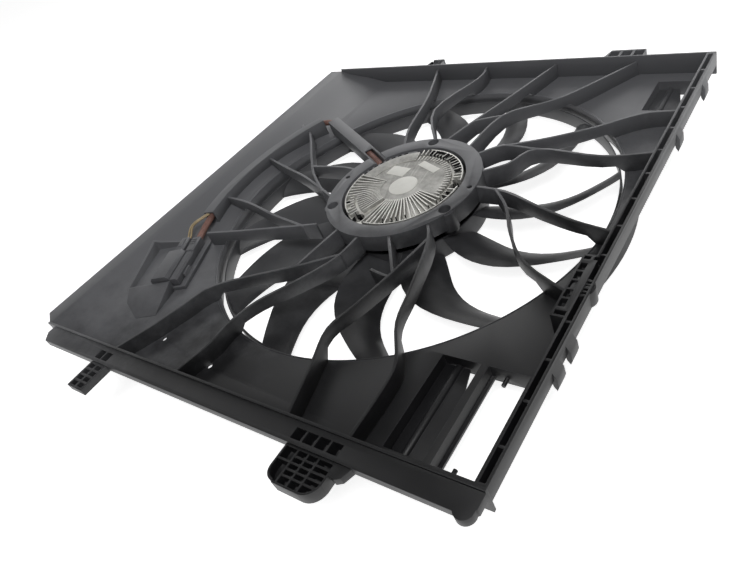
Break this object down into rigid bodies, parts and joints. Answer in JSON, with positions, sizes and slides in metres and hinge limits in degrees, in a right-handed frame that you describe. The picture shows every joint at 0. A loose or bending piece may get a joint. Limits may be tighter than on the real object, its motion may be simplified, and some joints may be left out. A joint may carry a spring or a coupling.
{
  "type": "radiator cooling fan",
  "caption": "Car radiator cooling fan: ribbed shroud with curved stator arms, electric motor with finned cover, swept fan wheel and hinged air flaps.",
  "frame": {"origin": "on the ground plane under the centre of the whole module, with the duct outlet standing on it", "axes": "+Z along the fan axis, from the engine side to the radiator side; +X towards the ladder frame; -Y towards the two locating feet"},
  "size_m": [0.6085, 0.666, 0.06],
  "materials": {
    "shroud_black": "moulded matt black",
    "shroud_dark": "moulded matt black",
    "flap_black": "moulded matt black",
    "cast_alloy": "cast, bare",
    "steel": "ground",
    "core_steel": "stacked sheet",
    "zinc_steel": "zinc plated",
    "copper": "varnished winding wire",
    "magnet": "sintered",
    "board_green": "lacquered board",
    "capacitor": "sleeved",
    "rubber": "soft",
    "label_white": "bare printed-paper face",
    "lead_sheath": "soft sheath",
    "wire_tan": "thin insulation",
    "plug_grey": "moulded"
  },
  "bodies": {
    "module": {"shroud_panel": "shroud_black", "fan_duct": "shroud_black", "lower_frame": "shroud_black", "side_frame": "shroud_black", "upper_frame": "shroud_black", "motor_carrier": "shroud_dark", "lower_arms": "shroud_dark", "side_arms": "shroud_dark", "upper_arms": "shroud_dark", "left_arms": "shroud_dark", "lead_channel": "shroud_dark", "motor_base": "cast_alloy", "heat_sink_cover": "cast_alloy", "cover_seal": "rubber", "cover_screws": "zinc_steel", "motor_screws": "zinc_steel", "controller_board": "board_green", "board_capacitors": "capacitor", "stator_core": "core_steel", "stator_coils": "copper", "lower_bearing": "steel", "upper_bearing": "steel", "cover_labels": "label_white", "motor_lead": "lead_sheath", "signal_wires": "wire_tan", "power_plug": "plug_grey", "signal_plug": "plug_grey", "plug_bracket": "shroud_dark"},
    "rotor": {"rotor_shaft": "steel", "retaining_ring": "steel", "rotor_can": "zinc_steel", "rotor_magnets": "magnet", "fan_hub": "shroud_black", "fan_blades": "shroud_black", "tip_ring": "shroud_black", "fan_screws": "zinc_steel"},
    "lower_flap_body": {"lower_flap": "flap_black"},
    "upper_flap_body": {"upper_flap": "flap_black"}
  },
  "joints": [
    {"name": "fan_spin", "type": "hinge", "parent": "module", "child": "rotor", "pos_m": [0.03175, 0.027, 0.015], "axis": [0, 0, 1], "continuous": true},
    {"name": "lower_flap_hinge", "type": "hinge", "parent": "module", "child": "lower_flap_body", "pos_m": [0.20975, -0.219, 0.024], "axis": [0, 1, 0], "range_deg": [0, 75]},
    {"name": "upper_flap_hinge", "type": "hinge", "parent": "module", "child": "upper_flap_body", "pos_m": [0.25475, 0.258, 0.024], "axis": [0, 1, 0], "range_deg": [0, 75]}
  ]
}
